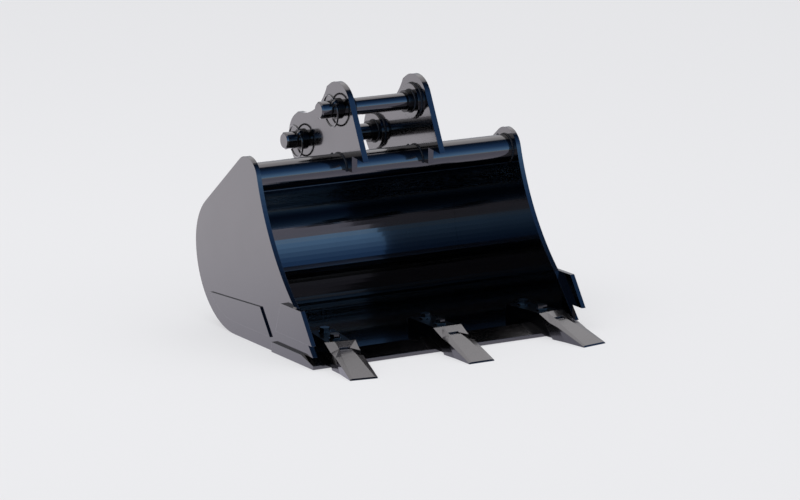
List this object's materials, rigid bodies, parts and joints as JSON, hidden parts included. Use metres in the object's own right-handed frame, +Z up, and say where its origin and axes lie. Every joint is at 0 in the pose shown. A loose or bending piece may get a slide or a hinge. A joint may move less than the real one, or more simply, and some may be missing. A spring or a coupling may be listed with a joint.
{
  "type": "excavator bucket",
  "caption": "Digging bucket for a mini excavator, with hanger ears and pins, a torsion tube, bolted teeth, side cutters and heel wear plates.",
  "frame": {"origin": "on the dipper pin's axis, midway between the ears", "axes": "+X along the pins, to the right seen from the teeth side looking in; the teeth point along -Y; +Z up with the bucket standing on its floor"},
  "size_m": [0.628, 0.6102, 0.499],
  "materials": {
    "shell_paint": "gloss",
    "tube_paint": "gloss",
    "lip_paint": "gloss",
    "adapter_paint": "satin",
    "tooth_paint": "gloss",
    "keeper_steel": "satin",
    "pin_steel": "gloss",
    "linch_steel": "satin",
    "ring_wire": "satin",
    "bolt_steel": "satin"
  },
  "bodies": {
    "bucket": {"side_plate_left": "shell_paint", "side_plate_right": "shell_paint", "wrapper_shell": "shell_paint", "torsion_tube": "tube_paint", "ear_left": "shell_paint", "ear_right": "shell_paint", "side_cutter_left": "shell_paint", "side_cutter_right": "shell_paint", "heel_plate_left": "shell_paint", "heel_plate_right": "shell_paint", "dipper_collar_left": "shell_paint", "dipper_collar_right": "shell_paint", "link_collar_left": "shell_paint", "link_collar_right": "shell_paint", "dipper_flange_left": "shell_paint", "dipper_flange_right": "shell_paint", "link_flange_left": "shell_paint", "link_flange_right": "shell_paint", "dipper_boss": "shell_paint", "link_boss": "shell_paint", "lip_plate": "lip_paint", "adapter_left": "adapter_paint", "tooth_left": "tooth_paint", "keeper_left": "keeper_steel", "adapter_middle": "adapter_paint", "tooth_middle": "tooth_paint", "keeper_middle": "keeper_steel", "adapter_right": "adapter_paint", "tooth_right": "tooth_paint", "keeper_right": "keeper_steel", "tooth_bolts": "bolt_steel", "tooth_washers": "bolt_steel"},
    "dipper_pin_set": {"dipper_pin": "pin_steel", "dipper_linch": "linch_steel"},
    "link_pin_set": {"link_pin": "pin_steel", "link_linch": "linch_steel"},
    "dipper_ring_body": {"dipper_ring": "ring_wire"},
    "link_ring_body": {"link_ring": "ring_wire"}
  },
  "joints": [
    {"name": "dipper_pin_turn", "type": "hinge", "parent": "bucket", "child": "dipper_pin_set", "pos_m": [0, 0, 0], "axis": [1, 0, 0], "continuous": true},
    {"name": "link_pin_turn", "type": "hinge", "parent": "bucket", "child": "link_pin_set", "pos_m": [0, 0.144, -0.086], "axis": [1, 0, 0], "continuous": true},
    {"name": "dipper_ring_swing", "type": "hinge", "parent": "dipper_pin_set", "child": "dipper_ring_body", "pos_m": [-0.108, -0.018, 0.01511], "axis": [0, 0.6428, 0.766], "range_deg": [0, 120]},
    {"name": "link_ring_swing", "type": "hinge", "parent": "link_pin_set", "child": "link_ring_body", "pos_m": [-0.108, 0.126, -0.07089], "axis": [0, 0.6428, 0.766], "range_deg": [0, 120]}
  ]
}
